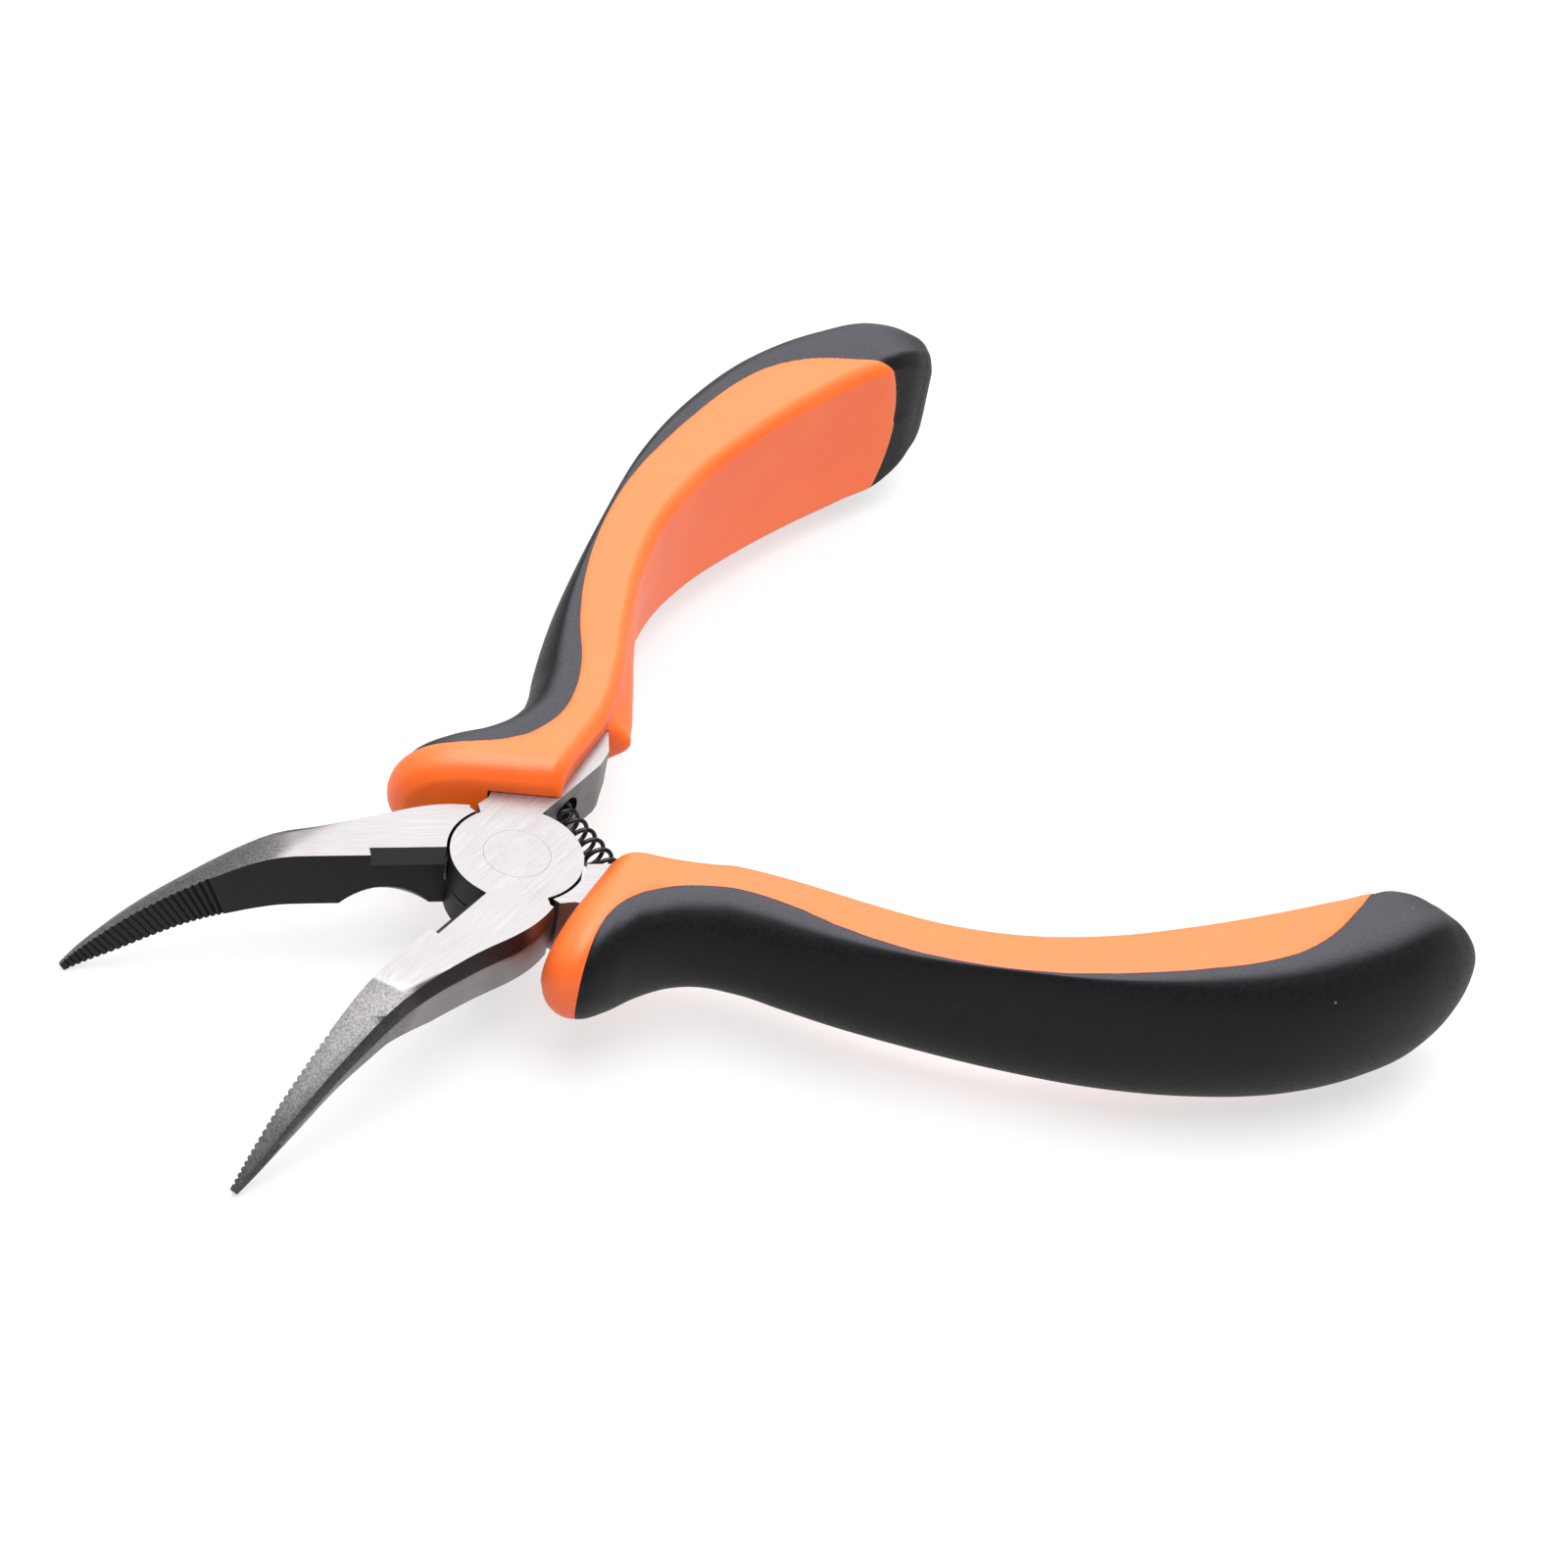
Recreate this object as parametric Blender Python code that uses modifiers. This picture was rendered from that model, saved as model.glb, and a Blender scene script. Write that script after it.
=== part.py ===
"""Bent needle nose pliers, 5 inch class: two lap-jointed steel levers on a flush rivet, a coil
return spring between the tangs, and two-material grips.

Frame: the origin is on the pivot axis at the joint's underside, +Z runs up the pivot, +X to the jaw
tips. The pliers lie open at their stop. Each half is drawn closed, as the half whose jaw is at +Y
and whose handle is at -Y. The bottom half is its mirror image in Y. An empty on the pivot axis then
turns each half open.
"""

import math

import bmesh
import bpy

MM = 0.001

# Joint
HALF_OPENING = math.radians(22.5)
JOINT_THICKNESS = 6.0 * MM
MID = JOINT_THICKNESS / 2
DISC_RADIUS = 6.2 * MM
DISC_REAR_ARC = (63.0, 194.0)
DISC_REAR_STEPS = 39
DISC_FRONT_ARC = (249.2, 356.0)
DISC_FRONT_STEPS = 32
DISC_STEPS = 96
GAP = 0.3 * MM
RIVET_HEAD_RADIUS = 2.85 * MM
RIVET_SHANK_RADIUS = 2.0 * MM
RIVET_HEAD_DEPTH = 1.0 * MM
RIVET_RIM_DEPTH = 0.25 * MM
RIVET_STEPS = 64

# Jaws
JAW_STUB = ((7.5, 5.8), (5.6, 6.1), (3.5, 6.4))
MATING_BACKOFF = 0.05 * MM
TANG_DRAFT = 0.22 * MM
CUTTER_START = 6.2 * MM
CUTTER_END = 13.6 * MM
CUTTER_SETBACK = 1.05 * MM
CUTTING_EDGE_DROP = 1.35 * MM
SCALLOP_RADIUS = 6.85 * MM
SCALLOP_X = 11.7 * MM
SCALLOP_HALF_LENGTH = 9.0 * MM
SCALLOP_DROP = 3.8 * MM
SCALLOP_STEPS = 72
TOOTH_PITCH = 0.65 * MM
TOOTH_DEPTH = 0.2 * MM

# Jaw and nose stations, mm, from the shoulder to the tip: top x and z, bottom x and z, then how far
# four lines stand out from the mating face (end of the flat top, top's outer edge, side ridge,
# bottom's outer edge), the drop of the top's outer edge, and the ridge's height as a share
JAW = (
    (3.4, 6.0, 3.4, 0.0, 6.30, 6.63, 6.93, 6.63, 0.00, 0.90),
    (5.0, 6.0, 5.0, 0.0, 6.40, 6.78, 7.25, 6.78, 0.00, 0.84),
    (7.0, 6.0, 7.0, 0.0, 6.30, 6.68, 7.40, 6.68, 0.00, 0.79),
    (9.3, 6.0, 9.3, 0.0, 5.90, 6.23, 7.08, 6.23, 0.00, 0.74),
    (11.4, 6.0, 11.4, 0.0, 5.30, 5.63, 6.52, 5.63, 0.00, 0.74),
    (13.6, 6.0, 13.6, 0.0, 4.75, 5.08, 5.98, 5.08, 0.00, 0.75),
    (15.7, 6.0, 15.7, 0.0, 4.20, 4.63, 5.53, 4.63, 0.06, 0.75),
    (18.0, 6.0, 18.0, 0.0, 3.50, 4.18, 5.05, 4.18, 0.20, 0.75),
    (21.6, 5.9, 21.1, -0.05, 2.80, 3.75, 4.55, 3.75, 0.32, 0.74),
    (24.5, 5.1, 23.4, -0.40, 2.10, 3.30, 4.10, 3.40, 0.42, 0.72),
    (27.4, 3.7, 25.7, -0.95, 1.70, 2.90, 3.65, 3.05, 0.48, 0.70),
    (30.2, 2.1, 28.1, -1.65, 1.40, 2.50, 3.15, 2.65, 0.50, 0.67),
    (32.8, 0.4, 30.6, -2.65, 1.20, 2.15, 2.75, 2.30, 0.45, 0.64),
    (35.3, -1.5, 33.2, -4.00, 1.00, 1.80, 2.30, 1.95, 0.40, 0.62),
    (37.6, -3.6, 35.9, -5.50, 0.80, 1.40, 1.85, 1.50, 0.30, 0.60),
    (39.5, -5.5, 38.5, -6.85, 0.60, 1.00, 1.35, 1.10, 0.20, 0.56),
    (41.0, -7.3, 40.5, -8.00, 0.35, 0.55, 0.75, 0.60, 0.10, 0.50),
)
# Places along that table, counted in stations
NOSE_FROM = 7.0
TEETH_FROM = 10.2
TEETH_TO = 15.7
STEP_BEFORE_TEETH = 0.4
RIDGE_SOFTNESS = 0.12
RIDGE_ROUNDING = 0.05 * MM
NOSE_UNDERCUT = 0.2

# Spring
WIRE_RADIUS = 0.22 * MM
SPRING_RADIUS = 1.2 * MM
SPRING_TURNS = 9
SPRING_STEPS_PER_TURN = 12
SPRING_SEAT_X = 10.4 * MM
POCKET_RADIUS = 1.8 * MM
POCKET_DEPTH = 1.8 * MM
POCKET_CLEAR = 2.0 * MM
TANG_FLANK_Y = -1.5 * MM
SPRING_BOW = 0.1 * MM

# Grip stations, mm: inner edge x and y, widest outer point x and y, half height, lip on the inner face
GRIP = (
    (-9.0, -1.5, -0.6, -12.9, 3.9, 0.0),
    (-9.6, -1.8, -0.7, -14.4, 5.1, 0.0),
    (-10.3, -2.1, -1.7, -15.8, 5.8, 0.0),
    (-11.2, -2.3, -3.5, -16.2, 6.0, 0.0),
    (-12.5, -2.6, -6.0, -15.3, 5.9, 0.0),
    (-14.2, -2.9, -9.2, -13.4, 5.7, 0.0),
    (-16.4, -3.3, -12.9, -11.9, 5.6, 0.0),
    (-18.2, -3.6, -15.7, -11.7, 5.6, 0.0),
    (-19.4, -3.9, -17.2, -11.9, 5.7, 0.0),
    (-20.3, -4.0, -18.3, -12.3, 5.7, 2.0),
    (-22.0, -4.6, -20.0, -13.0, 5.7, 1.9),
    (-25.5, -6.3, -22.6, -14.4, 5.8, 1.3),
    (-31.0, -9.5, -28.2, -16.9, 6.1, 0.8),
    (-37.0, -12.6, -34.7, -19.1, 6.5, 0.3),
    (-44.0, -15.0, -42.2, -21.3, 7.1, 0.1),
    (-52.0, -15.9, -51.2, -23.8, 7.7, 0.0),
    (-60.0, -15.4, -60.6, -25.3, 8.2, 0.0),
    (-68.0, -14.2, -70.2, -25.1, 8.6, 0.0),
    (-75.0, -12.6, -78.4, -22.8, 8.7, 0.0),
    (-80.0, -11.2, -84.0, -19.8, 8.3, 0.0),
    (-83.2, -10.8, -87.0, -17.1, 7.1, 0.0),
    (-85.6, -11.2, -88.5, -14.8, 5.0, 0.0),
    (-87.0, -12.1, -88.8, -13.8, 2.7, 0.0),
)
CREASE = 1.3 * MM
CREASE_LEAST = 0.5 * MM
TOP_FLAT = 0.55

# The lip on the inner face: heights of its points as shares of the flat part of that face, and its
# middle and reach as shares of the half height
LIP_LEVELS = (-0.45, -0.1, 0.26, 0.62)
LIP_CENTRE = 0.2
LIP_REACH = 0.54

OUTER_TURNS = (0.0, 32.0, 56.0, 75.0)
OUTER_POWER = 0.94
OVERMOULD_WALL = 1.5 * MM
CORE_FROM = 4
CORE_TO = 19
CORE_END = 0.9
SLAB_REACH = 18.0 * MM

# Where the overmould meets the grip body, seen from above, mm: from the guard to the end cap
SEAM = (
    (-2.5, -22.0),
    (-3.1, -17.0),
    (-4.4, -14.0),
    (-6.2, -11.2),
    (-8.6, -9.0),
    (-11.2, -7.7),
    (-14.2, -7.1),
    (-17.0, -7.2),
    (-20.0, -8.1),
    (-23.5, -10.0),
    (-27.5, -13.1),
    (-32.6, -16.4),
    (-39.5, -19.5),
    (-46.5, -21.3),
    (-53.0, -21.9),
    (-60.0, -21.6),
    (-66.5, -20.6),
    (-71.5, -18.4),
    (-75.5, -15.2),
    (-77.6, -12.4),
    (-78.4, -8.0),
)
SEAM_BEYOND = ((-100.0, -8.0), (-100.0, -40.0), (-2.5, -40.0))

# Tang inside the grip, mm: inner edge going back, then outer edge coming forward
TANG_INNER = (
    (-15.4, -1.5),
    (-17.4, -2.0),
    (-19.4, -3.5),
    (-22.0, -6.3),
    (-26.0, -9.4),
    (-31.0, -12.5),
    (-37.0, -15.4),
    (-44.0, -17.5),
    (-52.0, -18.8),
    (-56.0, -19.1),
)
TANG_OUTER = (
    (-56.0, -20.9),
    (-50.0, -20.5),
    (-43.0, -19.2),
    (-36.0, -17.2),
    (-30.0, -14.6),
    (-25.0, -11.9),
    (-21.0, -9.7),
    (-17.0, -8.6),
    (-12.0, -8.4),
    (-7.5, -7.9),
    (-4.4, -6.7),
    (-2.95, -6.85),
)
TANG_MOUTH = ((2.0, -6.0), (2.0, -1.0))

# The round hollow under the tang where it enters the grip
TANG_HOLLOW_X = -21.2 * MM
TANG_HOLLOW_Z = -1.0 * MM
TANG_HOLLOW_RADIUS = 4.85 * MM
TANG_HOLLOW_REACH = 30.0 * MM
TANG_HOLLOW_STEPS = 60


def clear_scene():
    for obj in list(bpy.data.objects):
        bpy.data.objects.remove(obj, do_unlink=True)


def make_collection(name):
    collection = bpy.data.collections.new(name)
    bpy.context.scene.collection.children.link(collection)
    return collection


def make_material(name, colour, roughness, metallic):
    material = bpy.data.materials.new(name)
    material.use_nodes = True
    shader = material.node_tree.nodes["Principled BSDF"]
    shader.inputs["Base Color"].default_value = (*colour, 1.0)
    shader.inputs["Roughness"].default_value = roughness
    shader.inputs["Metallic"].default_value = metallic
    material.diffuse_color = (*colour, 1.0)
    return material


def add_object(name, mesh, collection, parent, material=None):
    obj = bpy.data.objects.new(name, mesh)
    collection.objects.link(obj)
    obj.parent = parent
    if material:
        mesh.materials.append(material)
        mesh.shade_smooth()
        mesh.set_sharp_from_angle(angle=math.radians(30))
    else:
        obj.hide_render = True
        obj.display_type = "WIRE"
    return obj


def mesh_from(name, bm):
    bm.normal_update()
    bmesh.ops.recalc_face_normals(bm, faces=bm.faces)
    mesh = bpy.data.meshes.new(name)
    bm.to_mesh(mesh)
    bm.free()
    return mesh


def loft(name, rings):
    """A closed mesh through rings that all have the same number of points."""
    bm = bmesh.new()
    loops = [[bm.verts.new(point) for point in ring] for ring in rings]
    count = len(loops[0])
    for near, far in zip(loops, loops[1:]):
        for i in range(count):
            j = (i + 1) % count
            bm.faces.new((near[i], near[j], far[j], far[i]))
    bm.faces.new(loops[0])
    bm.faces.new(loops[-1])
    return mesh_from(name, bm)


def slab(name, outline, low, high):
    """A flat outline with thickness, from a filled 2D curve."""
    curve = bpy.data.curves.new(name, "CURVE")
    curve.dimensions = "2D"
    curve.fill_mode = "BOTH"
    curve.extrude = (high - low) / 2
    spline = curve.splines.new("POLY")
    spline.points.add(len(outline) - 1)
    for point, (x, y) in zip(spline.points, outline):
        point.co = (x, y, 0.0, 1.0)
    spline.use_cyclic_u = True
    holder = bpy.data.objects.new(name, curve)
    bpy.context.scene.collection.objects.link(holder)
    graph = bpy.context.evaluated_depsgraph_get()
    mesh = bpy.data.meshes.new_from_object(holder.evaluated_get(graph))
    bpy.data.objects.remove(holder)
    bm = bmesh.new()
    bm.from_mesh(mesh)
    bmesh.ops.remove_doubles(bm, verts=bm.verts, dist=1e-7)
    bmesh.ops.translate(bm, verts=bm.verts, vec=(0.0, 0.0, (low + high) / 2))
    return mesh_from(name, bm)


def cylinder(name, radius, low, high, segments):
    bm = bmesh.new()
    bmesh.ops.create_cone(
        bm, cap_ends=True, segments=segments, radius1=radius, radius2=radius, depth=high - low
    )
    bmesh.ops.translate(bm, verts=bm.verts, vec=(0.0, 0.0, (low + high) / 2))
    return mesh_from(name, bm)


def boolean(obj, cutter, operation):
    modifier = obj.modifiers.new(f"{operation.lower()} {cutter.name}", "BOOLEAN")
    modifier.operation = operation
    modifier.solver = "EXACT"
    modifier.object = cutter


def arc(radius, start, end, steps):
    """Points round the pivot from one angle to another, in degrees."""
    angles = [math.radians(start + (end - start) * i / steps) for i in range(steps + 1)]
    return [(radius * math.cos(angle), radius * math.sin(angle)) for angle in angles]


def in_mm(points):
    return [(x * MM, y * MM) for x, y in points]


def mirrored(points, side):
    return [(x, y * side) for x, y in points]


def offset_outline(points, distance):
    """An open line of points moved to its right by a distance."""
    moved = []
    for i, (x, y) in enumerate(points):
        ax, ay = points[max(i - 1, 0)]
        bx, by = points[min(i + 1, len(points) - 1)]
        length = math.hypot(bx - ax, by - ay)
        moved.append((x + (by - ay) / length * distance, y - (bx - ax) / length * distance))
    return moved


# ---------------------------------------------------------------- levers


def lever_outline(draft):
    """The joint, the jaw's root and the tang seen from above, the tang's outer edge set in by the draft."""
    outline = [(x, MATING_BACKOFF) for x in (DISC_RADIUS, JAW_STUB[0][0] * MM)]
    outline += in_mm(JAW_STUB)
    outline += arc(DISC_RADIUS, *DISC_REAR_ARC, DISC_REAR_STEPS)
    outline += in_mm(TANG_INNER)
    outline += [(x, y + draft) for x, y in in_mm(TANG_OUTER)]
    outline += arc(DISC_RADIUS, *DISC_FRONT_ARC, DISC_FRONT_STEPS)
    return outline


def lever_plate(name, side):
    rings = []
    for z, draft in ((0.0, TANG_DRAFT), (MID, 0.0), (JOINT_THICKNESS, TANG_DRAFT)):
        rings.append([(x, y * side, z) for x, y in lever_outline(draft)])
    return loft(name, rings)


def jaw_station(position):
    """Station values, in metres, on a smooth curve through the table's rows. The last is a share."""
    index = min(int(position), len(JAW) - 2)
    t = position - index
    rows = [JAW[min(max(index + step, 0), len(JAW) - 1)] for step in (-1, 0, 1, 2)]
    values = [
        b + 0.5 * t * (c - a + t * (2 * a - 5 * b + 4 * c - d + t * (3 * b - a - 3 * c + d)))
        for a, b, c, d in zip(*rows)
    ]
    return [value * MM for value in values[:-1]] + values[-1:]


def jaw_length(start, end):
    """Length along the middle of the mating face between two positions."""
    steps = 60
    points = []
    for i in range(steps + 1):
        top_x, top_z, bottom_x, bottom_z = jaw_station(start + (end - start) * i / steps)[:4]
        points.append(((top_x + bottom_x) / 2, (top_z + bottom_z) / 2))
    return sum(math.dist(a, b) for a, b in zip(points, points[1:]))


def jaw_ring(position, side, groove=0.0):
    """A section flat on the mating face, its side in two facets that meet in a soft ridge."""
    top_x, top_z, bottom_x, bottom_z, flat_end, top_edge, ridge, bottom_edge, drop, ridge_up = jaw_station(
        position
    )
    inner = MATING_BACKOFF + groove
    top_up = 1 - drop / math.dist((top_x, top_z), (bottom_x, bottom_z))
    bottom_up = NOSE_UNDERCUT * min(max((position - NOSE_FROM) / 2, 0.0), 1.0)
    soft = RIDGE_SOFTNESS
    section = (
        (0.0, 0.0),
        (0.7 * bottom_edge, 0.0),
        (bottom_edge, bottom_up),
        (ridge + (bottom_edge - ridge) * soft, ridge_up + (bottom_up - ridge_up) * soft),
        (ridge - RIDGE_ROUNDING, ridge_up),
        (ridge + (top_edge - ridge) * soft, ridge_up + (top_up - ridge_up) * soft),
        (top_edge, top_up),
        (flat_end, 1.0),
        (0.5 * flat_end, 1.0),
        (0.0, 1.0),
    )
    ring = []
    for across, up in section:
        x = bottom_x + (top_x - bottom_x) * up
        z = bottom_z + (min(top_z, JOINT_THICKNESS) - bottom_z) * up
        ring.append((x, side * max(inner, across), z))
    return ring


def jaw(name, side):
    """The flat jaw and the bent nose in one, with teeth out to the tip."""
    before = round(TEETH_FROM / STEP_BEFORE_TEETH)
    rings = [jaw_ring(TEETH_FROM * i / before, side) for i in range(before)]
    teeth = round(jaw_length(TEETH_FROM, TEETH_TO) / TOOTH_PITCH)
    step = (TEETH_TO - TEETH_FROM) / teeth
    for i in range(teeth):
        start = TEETH_FROM + step * i
        rings.append(jaw_ring(start, side))
        rings.append(jaw_ring(start + 0.4 * step, side))
        rings.append(jaw_ring(start + 0.7 * step, side, TOOTH_DEPTH))
    rings.append(jaw_ring(TEETH_TO, side))
    rings.append(jaw_ring(len(JAW) - 1.0, side))
    return loft(name, rings)


def bevel_cutter(name, side):
    """The wedge ground off the top of the mating face, which leaves the cutting edge."""
    edge = JOINT_THICKNESS - CUTTING_EDGE_DROP
    section = (
        (-CUTTER_SETBACK, edge - CUTTING_EDGE_DROP),
        (2 * CUTTER_SETBACK, edge + 2 * CUTTING_EDGE_DROP),
        (-CUTTER_SETBACK, edge + 2 * CUTTING_EDGE_DROP),
    )
    rings = [[(x, side * y, z) for y, z in section] for x in (CUTTER_START, CUTTER_END)]
    return loft(name, rings)


def scallop_cutter(name, side):
    """The round hollow ground at 45 degrees into the bottom of the mating face."""
    mesh = cylinder(name, SCALLOP_RADIUS, -SCALLOP_HALF_LENGTH, SCALLOP_HALF_LENGTH, SCALLOP_STEPS)
    bm = bmesh.new()
    bm.from_mesh(mesh)
    lean = math.sqrt(0.5)
    for vertex in bm.verts:
        x, y, z = vertex.co
        out = (y - z) * lean + SCALLOP_DROP
        down = (y + z) * lean + SCALLOP_DROP
        vertex.co = (x + SCALLOP_X, -side * out, -down)
    return mesh_from(name, bm)


def rivet_profile(clearance):
    """Radius and height down the flush rivet, top to bottom. A hole runs out past both faces."""
    head = RIVET_HEAD_RADIUS + clearance
    shank = RIVET_SHANK_RADIUS + clearance
    return (
        (head, JOINT_THICKNESS + clearance),
        (head, JOINT_THICKNESS - RIVET_RIM_DEPTH),
        (shank, JOINT_THICKNESS - RIVET_HEAD_DEPTH),
        (shank, RIVET_HEAD_DEPTH),
        (head, RIVET_RIM_DEPTH),
        (head, -clearance),
    )


def turned(name, profile, collection, parent, material=None):
    """A profile turned round Z by a Screw modifier, closed at both ends."""
    bm = bmesh.new()
    points = [(0.0, profile[0][1])] + list(profile) + [(0.0, profile[-1][1])]
    verts = [bm.verts.new((radius, 0.0, z)) for radius, z in points]
    for a, b in zip(verts, verts[1:]):
        bm.edges.new((a, b))
    mesh = bpy.data.meshes.new(name)
    bm.to_mesh(mesh)
    bm.free()
    obj = add_object(name, mesh, collection, parent, material)
    screw = obj.modifiers.new("turn", "SCREW")
    screw.steps = RIVET_STEPS
    screw.render_steps = RIVET_STEPS
    screw.use_merge_vertices = True
    screw.merge_threshold = 1e-5
    return obj


def pocket_cutter(name, side):
    """The blind spring pocket, drilled square into the tang's inner flank."""
    mesh = cylinder(name, POCKET_RADIUS, -POCKET_CLEAR, POCKET_DEPTH, 24)
    bm = bmesh.new()
    bm.from_mesh(mesh)
    for vertex in bm.verts:
        x, y, z = vertex.co
        vertex.co = (x - SPRING_SEAT_X, side * (TANG_FLANK_Y - z), y + MID)
    return mesh_from(name, bm)


def tang_hollow(name, side, radius):
    """A cylinder lying across the underside of the tang."""
    mesh = cylinder(name, radius, -TANG_HOLLOW_REACH, 0.0, TANG_HOLLOW_STEPS)
    bm = bmesh.new()
    bm.from_mesh(mesh)
    for vertex in bm.verts:
        x, y, z = vertex.co
        vertex.co = (x + TANG_HOLLOW_X, side * z, y + TANG_HOLLOW_Z)
    return mesh_from(name, bm)


def build_lever(name, side, parts, cutters, pivot, steel):
    """One forging. The top lever keeps the joint's upper layer, the bottom lever its lower one."""
    lever = add_object(name, lever_plate(name, side), parts, pivot, steel)
    jaw_piece = add_object(f"{name}_jaw", jaw(f"{name}_jaw", side), cutters, pivot)
    boolean(lever, jaw_piece, "UNION")
    if side > 0:
        low, high = -MM, MID + GAP / 2
    else:
        low, high = MID - GAP / 2, JOINT_THICKNESS + MM
    recess = cylinder(f"{name}_recess", DISC_RADIUS + GAP, low, high, DISC_STEPS)
    hollow = tang_hollow(f"{name}_hollow", side, TANG_HOLLOW_RADIUS)
    cutting = [
        add_object(f"{name}_recess", recess, cutters, pivot),
        turned(f"{name}_rivet_hole", rivet_profile(GAP), cutters, pivot),
        add_object(f"{name}_bevel", bevel_cutter(f"{name}_bevel", side), cutters, pivot),
        add_object(f"{name}_scallop", scallop_cutter(f"{name}_scallop", side), cutters, pivot),
        add_object(f"{name}_pocket", pocket_cutter(f"{name}_pocket", side), cutters, pivot),
        add_object(f"{name}_hollow", hollow, cutters, pivot),
    ]
    for cutter in cutting:
        boolean(lever, cutter, "DIFFERENCE")
    return lever


# ---------------------------------------------------------------- grips


def grip_ring(station, side, inset):
    """A D section standing on the line from the inner edge to the widest outer point."""
    inner_x, inner_y, outer_x, outer_y, half_height, lip = (value * MM for value in station)
    width = math.hypot(outer_x - inner_x, outer_y - inner_y)
    along = ((outer_x - inner_x) / width, (outer_y - inner_y) / width)
    crease = max(CREASE - 0.4 * inset, CREASE_LEAST)
    start = inset
    end = width - inset
    high = half_height - inset
    flat = start + (end - start) * TOP_FLAT
    upper = [(start, high - crease), (start + 0.3 * crease, high - 0.3 * crease), (start + crease, high)]
    for angle in OUTER_TURNS:
        turn = math.radians(angle)
        across = flat + (end - flat) * math.sin(turn) ** OUTER_POWER
        upper.append((across, high * math.cos(turn) ** OUTER_POWER))
    lower = [(across, -up) for across, up in reversed(upper)]
    inner = [(start, level * (high - crease)) for level in LIP_LEVELS]
    section = inner + upper + [(end, 0.0)] + lower
    ring = []
    for across, up in section:
        if across < start + crease / 2:
            across -= lip * max(1 - ((up / high - LIP_CENTRE) / LIP_REACH) ** 2, 0.0) ** 2
        x = inner_x + along[0] * across
        y = inner_y + along[1] * across
        ring.append((x, y * side, MID + up))
    return ring


def grip_solid(name, side):
    return loft(name, [grip_ring(station, side, 0.0) for station in GRIP])


def grip_core(name, side, inset, end_part):
    """The part of the grip body that runs on inside the overmould."""
    stations = [station[:5] + (0.0,) for station in GRIP[CORE_FROM:CORE_TO]]
    last = [a + (b - a) * end_part for a, b in zip(GRIP[CORE_TO - 1], GRIP[CORE_TO])]
    stations.append(tuple(last[:5]) + (0.0,))
    return loft(name, [grip_ring(station, side, inset) for station in stations])


def seam_slab(name, side, shift):
    """The region the overmould takes up, its seam moved towards the grip body by a shift."""
    seam = offset_outline(in_mm(SEAM), shift)
    outline = seam + in_mm(SEAM_BEYOND)
    return slab(name, mirrored(outline, side), MID - SLAB_REACH, MID + SLAB_REACH)


def tang_cavity(name, side):
    inner = offset_outline(in_mm(TANG_INNER), GAP)
    outer = offset_outline(in_mm(TANG_OUTER), GAP)
    inner[-1] = (inner[-1][0] - GAP, inner[-1][1])
    outer[0] = (outer[0][0] - GAP, outer[0][1])
    outline = inner + outer + in_mm(TANG_MOUTH)
    return slab(name, mirrored(outline, side), -GAP, JOINT_THICKNESS + GAP)


def build_grip(label, side, parts, cutters, pivot, body_material, overmould_material):
    body_name = f"grip_body_{label}"
    skin_name = f"grip_overmould_{label}"
    body = add_object(body_name, grip_solid(body_name, side), parts, pivot, body_material)
    skin = add_object(skin_name, grip_solid(skin_name, side), parts, pivot, overmould_material)

    def helper(name, mesh):
        return add_object(name, mesh, cutters, pivot)

    body_seam = f"{body_name}_seam"
    boolean(body, helper(body_seam, seam_slab(body_seam, side, GAP)), "DIFFERENCE")
    body_core = f"{body_name}_core"
    core_mesh = grip_core(body_core, side, OVERMOULD_WALL + GAP, CORE_END)
    boolean(body, helper(body_core, core_mesh), "UNION")
    cavity_name, fill_name = f"{body_name}_tang_cavity", f"{body_name}_tang_fill"
    cavity = helper(cavity_name, tang_cavity(cavity_name, side))
    fill = tang_hollow(fill_name, side, TANG_HOLLOW_RADIUS - GAP)
    boolean(cavity, helper(fill_name, fill), "DIFFERENCE")
    boolean(body, cavity, "DIFFERENCE")
    skin_seam = f"{skin_name}_seam"
    boolean(skin, helper(skin_seam, seam_slab(skin_seam, side, 0.0)), "INTERSECT")
    skin_core = f"{skin_name}_core"
    boolean(skin, helper(skin_core, grip_core(skin_core, side, OVERMOULD_WALL, 1.0)), "DIFFERENCE")


# ---------------------------------------------------------------- spring and assembly


def spring_end(side):
    """A seat at the bottom of its pocket, in the open pose."""
    x = -SPRING_SEAT_X
    y = TANG_FLANK_Y - POCKET_DEPTH + GAP + WIRE_RADIUS
    turn = HALF_OPENING
    return (
        x * math.cos(turn) - y * math.sin(turn),
        side * (x * math.sin(turn) + y * math.cos(turn)),
    )


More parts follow.
